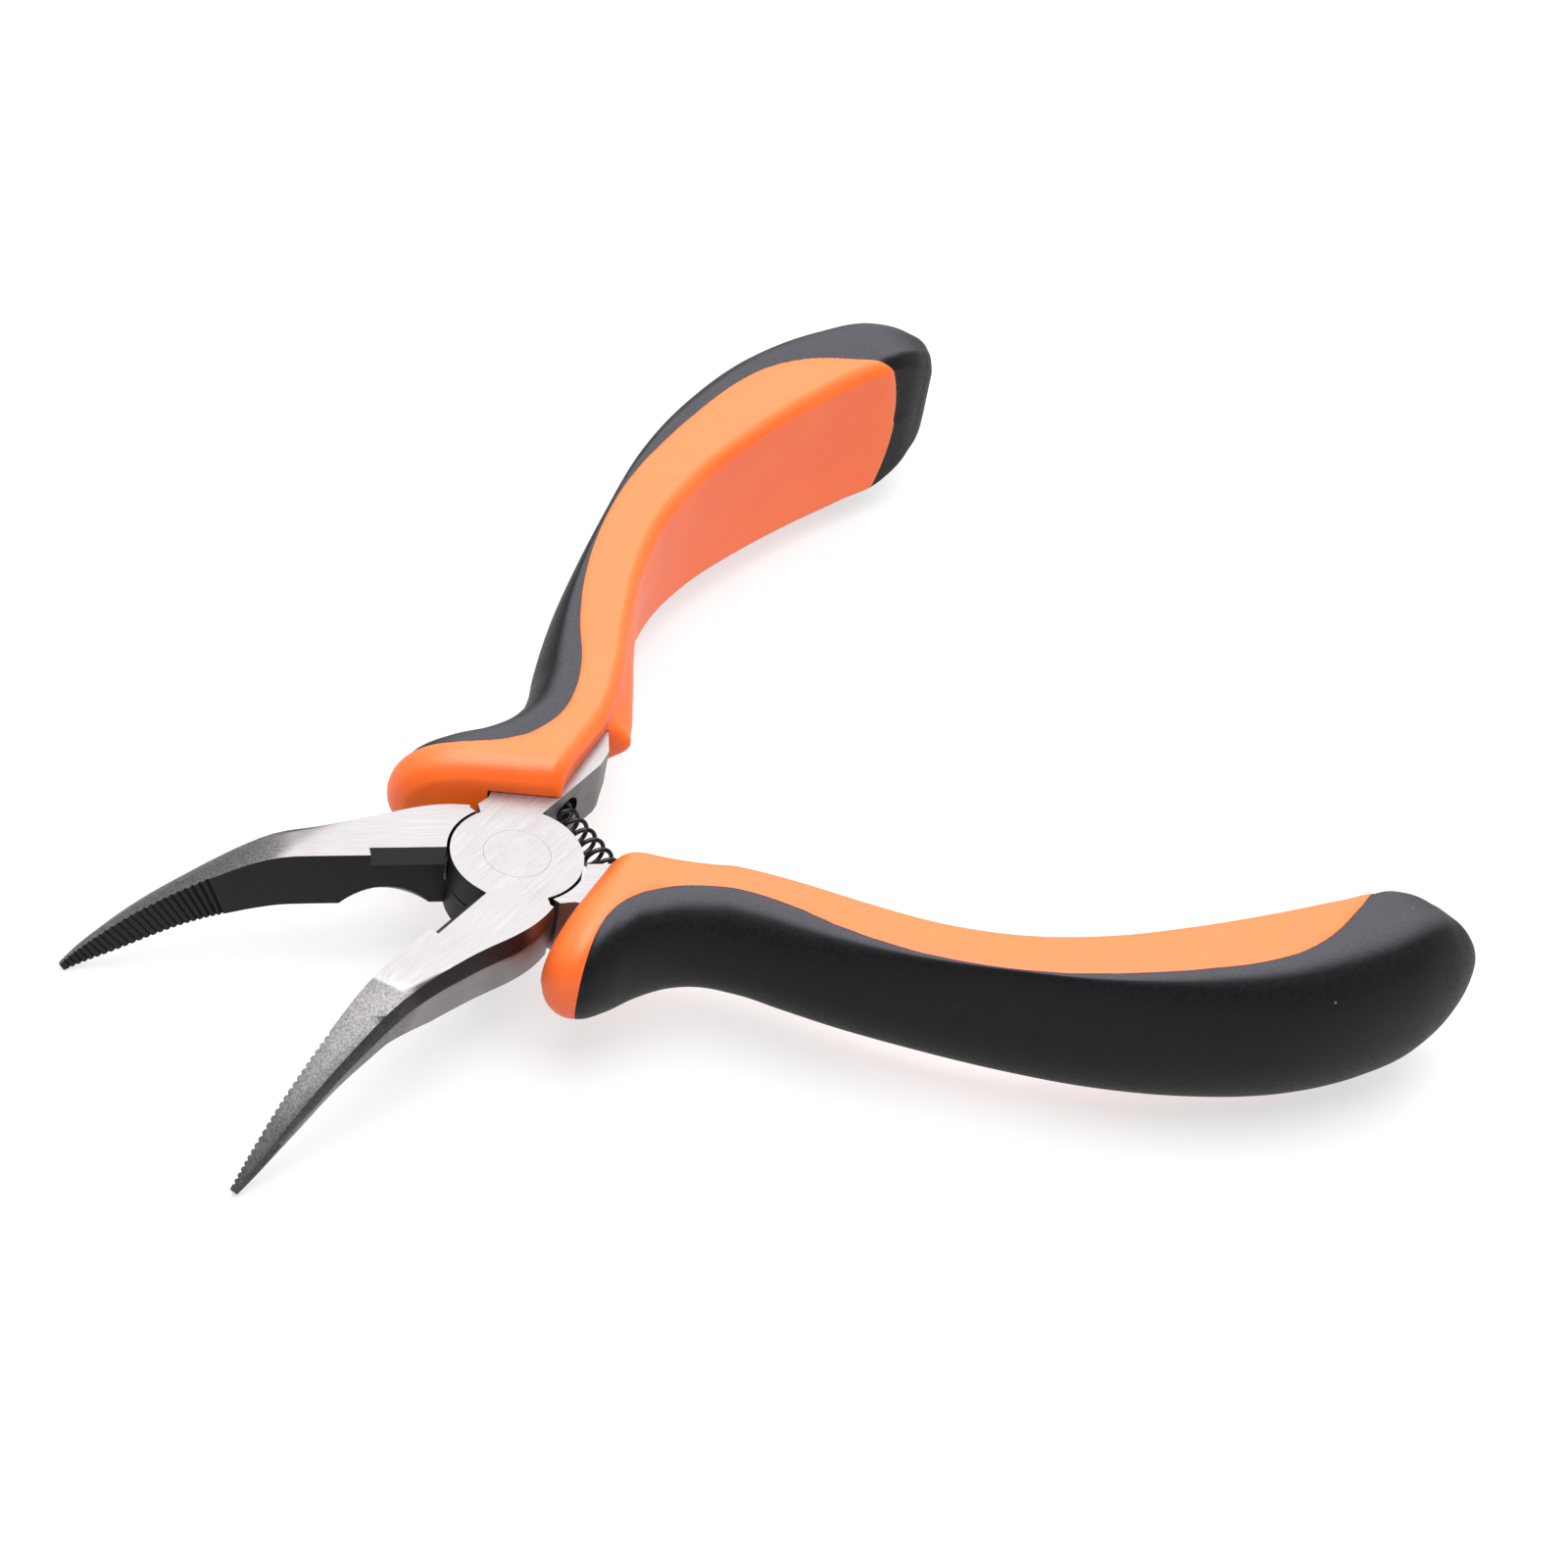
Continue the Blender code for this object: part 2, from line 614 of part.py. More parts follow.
def build_spring(parts, material):
    """A compression spring from seat to seat, bowed a little away from the pivot."""
    end_x, end_y = spring_end(1)
    total = SPRING_TURNS * SPRING_STEPS_PER_TURN
    curve = bpy.data.curves.new("return_spring", "CURVE")
    curve.dimensions = "3D"
    curve.bevel_depth = WIRE_RADIUS
    curve.bevel_resolution = 1
    curve.use_fill_caps = True
    spline = curve.splines.new("POLY")
    spline.points.add(total)
    lean_most = math.atan2(4 * SPRING_BOW, 2 * abs(end_y))
    for i in range(total + 1):
        part = i / total
        turn = 2 * math.pi * i / SPRING_STEPS_PER_TURN
        lean = lean_most * (1 - 2 * part)
        centre_x = end_x - 4 * SPRING_BOW * part * (1 - part)
        centre_y = end_y * (1 - 2 * part)
        outward = SPRING_RADIUS * math.cos(turn)
        x = centre_x + outward * math.cos(lean)
        y = centre_y + outward * math.sin(lean)
        spline.points[i].co = (x, y, MID + SPRING_RADIUS * math.sin(turn), 1.0)
    obj = bpy.data.objects.new("return_spring", curve)
    curve.materials.append(material)
    parts.objects.link(obj)
    return obj


def make_pivot(name, collection, angle):
    pivot = bpy.data.objects.new(name, None)
    pivot.empty_display_size = 10 * MM
    pivot.rotation_euler.z = angle
    collection.objects.link(pivot)
    return pivot


def main():
    clear_scene()
    parts = make_collection("needle_nose_pliers")
    cutters = make_collection("cutters")
    steel = make_material("brushed_steel", (0.62, 0.60, 0.60), 0.32, 1.0)
    rivet_steel = make_material("rivet_steel", (0.66, 0.64, 0.64), 0.3, 1.0)
    spring_steel = make_material("black_spring_steel", (0.03, 0.03, 0.035), 0.4, 0.8)
    orange = make_material("orange_plastic", (0.95, 0.28, 0.05), 0.42, 0.0)
    black = make_material("black_rubber", (0.02, 0.02, 0.022), 0.6, 0.0)

    for label, side in (("top", 1), ("bottom", -1)):
        pivot = make_pivot(f"pivot_{label}", parts, side * HALF_OPENING)
        build_lever(f"{label}_lever", side, parts, cutters, pivot, steel)
        build_grip(label, side, parts, cutters, pivot, orange, black)
        if side > 0:
            turned("pivot_rivet", rivet_profile(0.0), parts, pivot, rivet_steel)
    build_spring(parts, spring_steel)


main()
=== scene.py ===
"""Looks for the bent needle nose pliers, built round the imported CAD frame.

Each half is described closed, in its half frame: the jaw at +Y, the handle at -Y, the pivot at the
origin. place() opens it into the row frame, and mirrors it for the bottom half.
"""

import math

import bmesh
import bpy
import numpy as np
from mathutils import Euler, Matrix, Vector


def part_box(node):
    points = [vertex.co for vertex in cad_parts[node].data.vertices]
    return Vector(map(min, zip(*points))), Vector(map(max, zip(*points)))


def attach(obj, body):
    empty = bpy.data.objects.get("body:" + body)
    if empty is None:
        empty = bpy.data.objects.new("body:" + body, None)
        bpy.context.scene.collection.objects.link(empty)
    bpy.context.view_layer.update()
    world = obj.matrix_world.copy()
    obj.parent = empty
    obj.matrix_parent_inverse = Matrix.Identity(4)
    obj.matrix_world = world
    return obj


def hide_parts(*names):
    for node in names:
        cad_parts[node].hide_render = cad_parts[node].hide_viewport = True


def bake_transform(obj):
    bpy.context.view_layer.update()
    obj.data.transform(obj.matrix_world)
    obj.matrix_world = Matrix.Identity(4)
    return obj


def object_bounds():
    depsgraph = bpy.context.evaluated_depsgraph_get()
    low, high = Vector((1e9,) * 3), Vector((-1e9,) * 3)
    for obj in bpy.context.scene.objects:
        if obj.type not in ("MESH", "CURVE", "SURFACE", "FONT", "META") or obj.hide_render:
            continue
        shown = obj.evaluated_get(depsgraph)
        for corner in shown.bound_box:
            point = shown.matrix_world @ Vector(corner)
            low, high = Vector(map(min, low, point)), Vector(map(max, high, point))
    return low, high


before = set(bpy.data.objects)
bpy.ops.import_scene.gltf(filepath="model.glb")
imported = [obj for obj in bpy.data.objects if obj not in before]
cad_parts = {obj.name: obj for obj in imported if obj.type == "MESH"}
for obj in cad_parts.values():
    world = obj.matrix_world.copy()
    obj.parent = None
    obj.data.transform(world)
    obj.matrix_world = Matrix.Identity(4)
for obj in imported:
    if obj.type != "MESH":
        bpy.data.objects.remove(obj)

CAD_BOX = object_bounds()
MM = 0.001
HALF_OPENING = math.radians(22.5)
JOINT_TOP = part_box("pivot_rivet")[1].z / MM
MID = JOINT_TOP / 2
SIDES = {"top": 1, "bottom": -1}

# Camera: where it stands and how it is turned, metres and degrees
CAMERA_AT = (0.32805, 0.41757, 0.49030)
CAMERA_TURN = (47.9125, -8.6616, 147.1456)
LENS_MM = 180.0
SENSOR_MM = 36.0
CAMERA_CLIP = (0.05, 20.0)

# Studio: the floor, the three softboxes as place, size (metres) and watts, and the sky, which
# brightens from one side to the other
FLOOR_SIZE = 3.0
FLOOR_DROP = 0.0001
FLOOR_GLOW = 0.65
LIGHTS_AIM = (-0.02, 0.0, 0.0)
SOFTBOXES = {
    "back_softbox": ((-0.60, -0.68, 0.80), (1.0, 1.0), 6.0),
    "top_softbox": ((0.05, 0.10, 1.2), (1.1, 1.1), 22.0),
    "left_softbox": ((0.75, -0.75, 0.35), (0.5, 0.7), 1.2),
}
SKY_BRIGHT_SIDE = (-0.45, -0.52, 0.72)
SKY_RAMP = {"From Min": -0.3, "From Max": 0.9, "To Min": 0.12, "To Max": 0.7}

# Grip stations, mm: inner edge x and y, widest outer point x and y, half height, lip on the inner
# face, and how much of the top is flat
GRIP = (
    (-9.0, -1.5, -0.6, -12.9, 3.9, 0.0, 0.55),
    (-9.6, -1.8, -0.7, -14.4, 5.1, 0.0, 0.55),
    (-10.3, -2.1, -1.7, -15.8, 5.8, 0.0, 0.55),
    (-11.2, -2.3, -3.5, -16.2, 6.0, 0.0, 0.55),
    (-12.5, -2.6, -6.0, -15.3, 5.9, 0.0, 0.55),
    (-14.2, -2.9, -9.2, -13.4, 5.7, 0.0, 0.55),
    (-16.4, -3.3, -12.9, -11.9, 5.6, 0.0, 0.58),
    (-18.2, -3.6, -15.7, -11.7, 5.6, 0.0, 0.60),
    (-19.4, -3.85, -17.2, -11.9, 5.7, 0.0, 0.62),
    (-20.4, -4.15, -18.3, -12.3, 5.7, 2.0, 0.64),
    (-22.0, -4.75, -20.0, -13.0, 5.7, 2.0, 0.66),
    (-25.5, -6.4, -22.6, -14.4, 5.8, 1.4, 0.70),
    (-31.0, -9.5, -28.2, -16.9, 6.1, 0.8, 0.82),
    (-37.0, -12.6, -34.7, -19.1, 6.5, 0.3, 0.98),
    (-44.0, -15.0, -42.2, -21.3, 7.1, 0.1, 1.06),
    (-52.0, -15.9, -51.2, -23.8, 7.7, 0.0, 0.94),
    (-60.0, -15.4, -60.6, -25.3, 8.2, 0.0, 0.76),
    (-68.0, -14.2, -70.2, -25.1, 8.6, 0.0, 0.64),
    (-75.0, -12.6, -78.4, -22.8, 8.7, 0.0, 0.55),
    (-80.0, -11.2, -84.0, -19.8, 8.3, 0.0, 0.50),
    (-83.2, -10.8, -87.1, -17.2, 6.6, 0.0, 0.45),
    (-85.8, -11.2, -88.8, -14.9, 4.4, 0.0, 0.40),
    (-87.4, -12.1, -89.2, -13.9, 2.4, 0.0, 0.40),
    (-88.3, -12.9, -89.1, -13.5, 0.9, 0.0, 0.40),
)
RINGS_PER_MM = 3.0

# Grip section: the lip's middle and half height as shares of the half height, how much of the
# underside is flat, the rounding of the inner edge and of the outer side, and the steps of each run
LIP_CENTRE = 0.2
LIP_REACH = 0.54
UNDERSIDE_FLAT = 0.5
CREASE = 1.3
CREASE_POWER = 1.5
CREASE_SHARE_OF_HEIGHT = 0.6
CREASE_SHARE_OF_WIDTH = 0.35
OUTER_POWER = 0.94
FACE_STEPS = 13
CREASE_STEPS = 8
TOP_STEPS = 17
OUTER_STEPS = 25

# Where the overmould meets the grip body, seen from above, mm
SEAM = (
    (-2.4, -24.0),
    (-2.5, -20.0),
    (-3.1, -17.0),
    (-4.4, -14.0),
    (-6.2, -11.2),
    (-8.6, -9.0),
    (-11.2, -7.7),
    (-14.2, -7.1),
    (-17.0, -7.2),
    (-20.0, -8.1),
    (-23.5, -10.0),
    (-27.5, -13.1),
    (-32.6, -16.3),
    (-39.5, -19.3),
    (-46.5, -21.1),
    (-53.0, -21.7),
    (-60.0, -21.7),
    (-65.0, -21.3),
    (-69.2, -20.2),
    (-72.6, -18.2),
    (-75.5, -15.2),
    (-77.6, -12.4),
    (-78.4, -8.0),
)
SEAM_BEYOND = ((-100.0, -8.0), (-100.0, -40.0), (-2.4, -40.0))
SEAM_SAMPLES = 6
SEAM_LEVELS = 25
SEAM_PAST_GRIP = 18.0
HAIRLINE = 0.02

# The seam bends back over the inner face, by this much at mid height, near the end cap
SEAM_BEND = 2.0
SEAM_BEND_HEIGHT = 9.0
SEAM_BEND_FROM = -73.0
SEAM_BEND_FADE = 5.0

# Below mid height the overmould reaches further in, between two places along the grip
UNDERSIDE_REACH = 1.6
UNDERSIDE_DEPTH = 4.0
UNDERSIDE_FROM = -14.0
UNDERSIDE_TO = -74.0
UNDERSIDE_FADE = 8.0

# The valley along the seam: its depth, how far it runs out on each moulding, how deep it is on the
# orange one as a share, and a distance that it doesn't reach
VALLEY_DEPTH = 0.2
VALLEY_ORANGE = 2.2
VALLEY_ORANGE_SHARE = 0.9
VALLEY_BLACK = 0.9
NO_VALLEY = 1e3

# The tang inside the grip, mm, as the CAD has it
TANG_INNER = (
    (-15.4, -1.5),
    (-17.4, -2.0),
    (-19.4, -3.5),
    (-22.0, -6.3),
    (-26.0, -9.4),
    (-31.0, -12.5),
    (-37.0, -15.4),
    (-44.0, -17.5),
    (-52.0, -18.8),
    (-56.0, -19.1),
)
TANG_OUTER = (
    (-56.0, -20.9),
    (-50.0, -20.5),
    (-43.0, -19.2),
    (-36.0, -17.2),
    (-30.0, -14.6),
    (-25.0, -11.9),
    (-21.0, -9.7),
    (-17.0, -8.6),
    (-12.0, -8.4),
    (-7.5, -7.9),
    (-4.4, -6.7),
    (-2.95, -6.85),
)
TANG_MOUTH = ((2.0, -6.0), (2.0, -1.0))
TANG_GAP = 0.06

# The round hollow under the tang, where it enters the grip: its axis in x and z, and its reach in y
TANG_HOLLOW = (-21.2, -1.0)
TANG_HOLLOW_RADIUS = 4.85
TANG_HOLLOW_STEPS = 96
TANG_HOLLOW_REACH = (-30.0, 0.0)

# Spring, mm. Its seat is the end by the top lever, and it bows a little towards the grips
WIRE_RADIUS = 0.22
SPRING_RADIUS = 1.2
SPRING_TURNS = 9
SPRING_SEAT = (-10.4, -2.78)
SPRING_BOW = 0.1
STEPS_PER_TURN = 26
WIRE_SIDES = 12

# The visible rivet, mm: how far it fills the gap round the CAD rivet's head, how far it stands
# proud, the depth of its rim and head, and how much thinner the shank is
RIVET_FILL = 0.292
RIVET_PROUD = 0.01
RIVET_RIM_DEPTH = 0.25
RIVET_HEAD_DEPTH = 1.0
RIVET_SHANK_STEP = 0.8
RIVET_UNDER_ROUNDING = 0.05
RIVET_TURN_STEPS = 96

# Shading angles and the angle from which the levers' edges are rounded, degrees, then the width of
# those rounded edges and how near together points are welded, metres
BODY_ANGLE = 40
SKIN_ANGLE = 50
SPRING_ANGLE = 50
RIVET_ANGLE = 30
LEVER_ANGLE = 28
ROUNDED_FROM_ANGLE = 35
LEVER_ROUNDING = 0.00010
WELD = 1e-6

# Looks of the levers, metres in the half frame. Pairs are where a mask starts and is full.
# The polish on top ends along a slanted line, given by side: its slope, then the pair
POLISH_END = {1: (0.12, 0.0227, 0.0222), -1: (1.25, 0.0238, 0.0215)}
ROUGH_EDGE = 0.0006
NOSE_START = (0.0205, 0.0226)
DISC_WALL = (0.0069, 0.0067)
BLACK_AHEAD_OF = (0.0054, 0.0058)
# Where the painted shade on the outside facet and chamfer starts and is full, ahead of the pivot
FACET_SHADE_AHEAD_OF = (0.0062, 0.0085)
TANG_BEHIND = (-0.0052, -0.0066)
BRUSH = (0.02, 1.0, 1.0)
FINE_BRUSH = (0.015, 1.0, 1.0)

# The levers' masks by facing: parts of the normal, outward from the jaw's middle and upward
FACES_UP = (0.93, 0.985)
WALL_UPRIGHT = (0.5, 0.3)
TANG_UPRIGHT = (0.6, 0.4)
INNER_OUTWARD = (-0.30, -0.42)
BEVEL_UPWARD = (0.3, 0.5)
FACET_OUTWARD = (0.45, 0.6)
FACET_UPWARD = (0.12, 0.25)
CHAMFER_OUTWARD = (0.12, 0.25)
CHAMFER_BELOW = (0.975, 0.955)
CHAMFER_ABOVE = (0.76, 0.84)
# How strong the painted shade on the outside facet is, on the jaw and on the nose
FACET_SHADE_STRENGTH = {"jaw": 0.9, "nose": 0.6}


# ---------------------------------------------------------------- geometry helpers


def smooth_line(points, per_span):
    """Catmull-Rom points through a list of points, with chord length spacing."""
    known = np.array(points, float)
    chord = np.maximum(np.linalg.norm(np.diff(known, axis=0), axis=1), 1e-6)
    at = np.concatenate([[0.0], np.cumsum(chord)])
    wanted = np.concatenate(
        [np.linspace(at[i], at[i + 1], per_span, endpoint=False) for i in range(len(chord))] + [[at[-1]]]
    )
    return sample(known, at, wanted)


def sample(known, at, wanted):
    """Cubic Hermite values at the wanted places, through known values at their own places."""
    slope = np.gradient(known, at, axis=0)
    index = np.clip(np.searchsorted(at, wanted, side="right") - 1, 0, len(at) - 2)
    span = (at[index + 1] - at[index])[:, None]
    t = (wanted - at[index])[:, None] / span
    a, b = known[index], known[index + 1]
    sa, sb = slope[index] * span, slope[index + 1] * span
    return (
        (2 * t**3 - 3 * t**2 + 1) * a
        + (t**3 - 2 * t**2 + t) * sa
        + (3 * t**2 - 2 * t**3) * b
        + (t**3 - t**2) * sb
    )


def place(points, side):
    """Half frame millimetres to the row frame in metres: mirrored for the bottom half, then opened."""
    p = np.array(points, float).reshape(-1, 3) * MM
    p[:, 1] *= side
    c, s = math.cos(side * HALF_OPENING), math.sin(side * HALF_OPENING)
    return np.stack([c * p[:, 0] - s * p[:, 1], s * p[:, 0] + c * p[:, 1], p[:, 2]], axis=1)


def arc(start, stop, count):
    """Evenly spaced values from start up to stop, without stop itself."""
    return np.linspace(start, stop, count, endpoint=False)


def mesh_from(name, bm):
    """The finished mesh, with its faces turned outwards."""
    bm.normal_update()
    bmesh.ops.recalc_face_normals(bm, faces=bm.faces)
    mesh = bpy.data.meshes.new(name)
    bm.to_mesh(mesh)
    bm.free()
    return mesh


def loft(name, rings, side):
    """A closed mesh through rings with equal numbers of points, given in the half frame."""
    count = len(rings[0])
    flat = place([point for ring in rings for point in ring], side)
    bm = bmesh.new()
    verts = [bm.verts.new(tuple(point)) for point in flat]
    for near in range(0, len(verts) - count, count):
        far = near + count
        for i in range(count):
            j = (i + 1) % count
            bm.faces.new((verts[near + i], verts[near + j], verts[far + j], verts[far + i]))
    bm.faces.new(verts[:count])
    bm.faces.new(verts[-count:])
    return mesh_from(name, bm)


def add(name, data):
    """A new object in the scene, from a mesh, a camera or a light."""
    obj = bpy.data.objects.new(name, data)
    bpy.context.scene.collection.objects.link(obj)
    return obj


def cut(obj, mesh, operation):
    """One exact Boolean, applied to the object at once."""
    tool = add("cutting_tool", mesh)
    modifier = obj.modifiers.new("cut", "BOOLEAN")
    modifier.operation = operation
    modifier.solver = "EXACT"
    modifier.object = tool
    bpy.context.view_layer.update()
    graph = bpy.context.evaluated_depsgraph_get()
    result = bpy.data.meshes.new_from_object(obj.evaluated_get(graph))
    obj.modifiers.clear()
    obj.data = result
    bpy.data.objects.remove(tool)


def shade(obj, material, angle):
    """One material, smooth across edges that bend by less than the angle in degrees."""
    obj.data.materials.clear()
    obj.data.materials.append(material)
    obj.data.shade_smooth()
    obj.data.set_sharp_from_angle(angle=math.radians(angle))


# ---------------------------------------------------------------- grips


def half_section(width, high, lip, flat_share, facing):
    """Points across and away from mid height, mm, from the inner face's middle to the widest point.

    facing is 1 for the upper half and -1 for the lower one. It matters only to the lip, which sits
    a little above mid height.
    """
    crease = min(CREASE, CREASE_SHARE_OF_HEIGHT * high, CREASE_SHARE_OF_WIDTH * width)
    flat = crease + (width - 2 * crease) * flat_share
    points = [(0.0, up) for up in arc(0.0, high - crease, FACE_STEPS)]
    for turn in arc(0.0, math.pi / 2, CREASE_STEPS):
        across = crease * (1 - math.cos(turn) ** (2 / CREASE_POWER))
        points.append((across, high - crease + crease * math.sin(turn) ** (2 / CREASE_POWER)))
    off = [(facing * up / high - LIP_CENTRE) / LIP_REACH for across, up in points]
    points = [(x - lip * max(1 - t * t, 0.0) ** 2, up) for (x, up), t in zip(points, off)]
    points += [(across, high) for across in arc(crease, flat, TOP_STEPS)]
    for turn in arc(0.0, math.pi / 2, OUTER_STEPS):
        across = flat + (width - flat) * math.sin(turn) ** OUTER_POWER
        points.append((across, high * math.cos(turn) ** OUTER_POWER))
    return points


def grip_mesh(name, side):
    """The whole grip, both mouldings in one, through smooth values between the stations."""
    known = np.array(GRIP, float)
    middle = (known[:, 0:2] + known[:, 2:4]) / 2
    at = np.concatenate([[0.0], np.cumsum(np.linalg.norm(np.diff(middle, axis=0), axis=1))])
    stations = sample(known, at, np.linspace(0.0, at[-1], int(at[-1] * RINGS_PER_MM)))
    rings = []
    for inner_x, inner_y, outer_x, outer_y, high, lip, top_flat in stations:
        width = math.hypot(outer_x - inner_x, outer_y - inner_y)
        ux, uy = (outer_x - inner_x) / width, (outer_y - inner_y) / width
        above = half_section(width, high, max(lip, 0.0), top_flat, 1)
        below = half_section(width, high, max(lip, 0.0), UNDERSIDE_FLAT, -1)
        section = above + [(width, 0.0)] + [(across, -up) for across, up in reversed(below[1:])]
        rings.append([(inner_x + ux * s, inner_y + uy * s, MID + up) for s, up in section])
    return loft(name, rings, side)


def seam_line():
    """The seam in plan, as it runs on top, in small steps."""
    return smooth_line(SEAM, SEAM_SAMPLES)


def moved(line, distance):
    """An open line moved to its right by a distance, or by a distance for each point."""
    line = np.array(line, float)
    way = np.gradient(line, axis=0)
    way /= np.linalg.norm(way, axis=1)[:, None]
    return line + np.stack([way[:, 1], -way[:, 0]], axis=1) * np.reshape(distance, (-1, 1))


def seam_bend(x, up):
    """How far the seam is set back towards the end cap, by place and height from the middle."""
    by_height = np.maximum(1 - (up / SEAM_BEND_HEIGHT) ** 2, 0)
    return by_height * SEAM_BEND * np.clip((SEAM_BEND_FROM - x) / SEAM_BEND_FADE, 0, 1)


def seam_slab(side, shift):
    """The overmould's region. Its edge bends back over the inner face, and reaches in further below."""
    rings = []
    line = seam_line()
    fade_in = np.clip((UNDERSIDE_FROM - line[:, 0]) / UNDERSIDE_FADE, 0, 1)
    fade_out = np.clip((line[:, 0] - UNDERSIDE_TO) / UNDERSIDE_FADE, 0, 1)
    levels = np.linspace(-SEAM_BEND_HEIGHT, SEAM_BEND_HEIGHT, SEAM_LEVELS)
    for up in (-SEAM_PAST_GRIP, *levels, SEAM_PAST_GRIP):
        reach = fade_in * fade_out * np.clip(-up / UNDERSIDE_DEPTH, 0, 1) * UNDERSIDE_REACH
        level = moved(line, shift + reach)
        level[:, 0] -= seam_bend(level[:, 0], up)
        rings.append([(x, y, MID + up) for x, y in np.concatenate([level, np.array(SEAM_BEYOND)])])
    return loft("seam", rings, side)


def tang_mesh(side):
    """The tang's cavity: its outline with thickness, less the hollow under it."""
    edges = [moved(TANG_INNER, TANG_GAP), moved(TANG_OUTER, TANG_GAP), np.array(TANG_MOUTH)]
    outline = np.concatenate(edges)
    rings = [[(x, y, z) for x, y in outline] for z in (-TANG_GAP, JOINT_TOP + TANG_GAP)]
    tang = add("tang", loft("tang", rings, side))
    angles = [2 * math.pi * i / TANG_HOLLOW_STEPS for i in range(TANG_HOLLOW_STEPS)]
    centre_x, centre_z = TANG_HOLLOW
    radius = TANG_HOLLOW_RADIUS - TANG_GAP
    circle = [(centre_x + radius * math.cos(a), centre_z + radius * math.sin(a)) for a in angles]
    hollow = [[(x, y, z) for x, z in circle] for y in TANG_HOLLOW_REACH]
    cut(tang, loft("hollow", hollow, side), "DIFFERENCE")
    mesh = tang.data
    bpy.data.objects.remove(tang)
    return mesh


def seam_distance(points):
    """Signed distance in plan from half frame points to the seam, mm: positive on the overmould's side."""
    line = seam_line()
    best = np.full(len(points), 1e9)
    sign = np.ones(len(points))
    for a, b in zip(line, line[1:]):
        d = b - a
        t = np.clip((points - a) @ d / (d @ d), 0, 1)
        off = points - a - t[:, None] * d
        far = np.linalg.norm(off, axis=1)
        nearer = far < best
        best = np.where(nearer, far, best)
        sign = np.where(nearer, np.sign(d[1] * off[:, 0] - d[0] * off[:, 1]), sign)
    return best * sign


def vertex_values(mesh, name):
    """One three-part value of every vertex, as an array with a row for each."""
    values = np.empty(len(mesh.vertices) * 3)
    mesh.vertices.foreach_get(name, values)
    return values.reshape(-1, 3)


def press_valley(mesh, side):
    """Sinks the upper side towards the seam, so the two mouldings meet in a shallow valley there."""
    co, normals = vertex_values(mesh, "co"), vertex_values(mesh, "normal")
    c, s = math.cos(side * HALF_OPENING), math.sin(side * HALF_OPENING)
    x, y = c * co[:, 0] + s * co[:, 1], (-s * co[:, 0] + c * co[:, 1]) * side
    x, y, up = x / MM, y / MM, co[:, 2] / MM - MID
    far = seam_distance(np.stack([x + seam_bend(x, up), y], axis=1))
    far = np.where(up > 0, far, NO_VALLEY)
    orange = np.clip(1 - np.abs(far) / VALLEY_ORANGE, 0, 1) ** 2
    black = 1 - np.sqrt(1 - np.clip(1 - np.abs(far) / VALLEY_BLACK, 0, 1) ** 2)
    depth = np.where(far > 0, black, orange * VALLEY_ORANGE_SHARE)
    co -= normals * (depth * VALLEY_DEPTH * MM)[:, None]
    mesh.vertices.foreach_set("co", co.ravel())
    mesh.update()


def build_grip(label, side, orange, black):
    """Both mouldings of one grip, cut from one shape along the seam, with the tang's cavity in both."""
    body = add(f"grip_{label}_orange", grip_mesh("grip", side))
    press_valley(body.data, side)
    skin = add(f"grip_{label}_black", body.data.copy())
    cut(body, seam_slab(side, HAIRLINE), "DIFFERENCE")
    cut(skin, seam_slab(side, 0.0), "INTERSECT")
    for piece in (body, skin):
        cut(piece, tang_mesh(side), "DIFFERENCE")
    shade(body, orange, BODY_ANGLE)
    shade(skin, black, SKIN_ANGLE)
    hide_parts(f"grip_body_{label}")
    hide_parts(f"grip_overmould_{label}")
    for piece in (body, skin):
        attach(piece, f"{label}_half")


# ---------------------------------------------------------------- spring and rivet


def spring_path():
    """The wire's centre line in the row frame, mm: even coils from seat to seat, a little bowed."""
    seat = place([(SPRING_SEAT[0], SPRING_SEAT[1], 0.0)], 1)[0] / MM
    steps = STEPS_PER_TURN * SPRING_TURNS
    points = []
    for i in range(steps + 1):
        part = i / steps
        turn = 2 * math.pi * SPRING_TURNS * part
        lean = math.atan2(4 * SPRING_BOW, 2 * abs(seat[1])) * (1 - 2 * part)
        x = seat[0] - 4 * SPRING_BOW * part * (1 - part)
        y = seat[1] * (1 - 2 * part)
        out = SPRING_RADIUS * math.cos(turn)
        up = MID + SPRING_RADIUS * math.sin(turn)
        points.append((x + out * math.cos(lean), y + out * math.sin(lean), up))
    return np.array(points)


def tube(name, path, radius, sides):
    """A closed round tube along a path, without twist."""
    way = np.gradient(path, axis=0)
    way /= np.linalg.norm(way, axis=1)[:, None]
    normal = np.cross(way[0], (0.0, 1.0, 0.0))
    bm = bmesh.new()
    loops = []
    for point, forward in zip(path, way):
        normal = normal - forward * (normal @ forward)
        normal /= np.linalg.norm(normal)
        other = np.cross(forward, normal)
        loop = []
        for k in range(sides):
            a = 2 * math.pi * k / sides
            out = math.cos(a) * normal + math.sin(a) * other
            loop.append(bm.verts.new(tuple((point + radius * out) * MM)))
        loops.append(loop)
    for near, far in zip(loops, loops[1:]):
        for k in range(sides):
            bm.faces.new((near[k], near[(k + 1) % sides], far[(k + 1) % sides], far[k]))
    bm.faces.new(loops[0])
    bm.faces.new(loops[-1])
    return mesh_from(name, bm)


def build_spring(material):
    """The return spring, coiled between the two halves."""
    spring = add("coil_spring", tube("coil_spring", spring_path(), WIRE_RADIUS, WIRE_SIDES))
    shade(spring, material, SPRING_ANGLE)
    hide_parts("return_spring")
    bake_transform(spring)


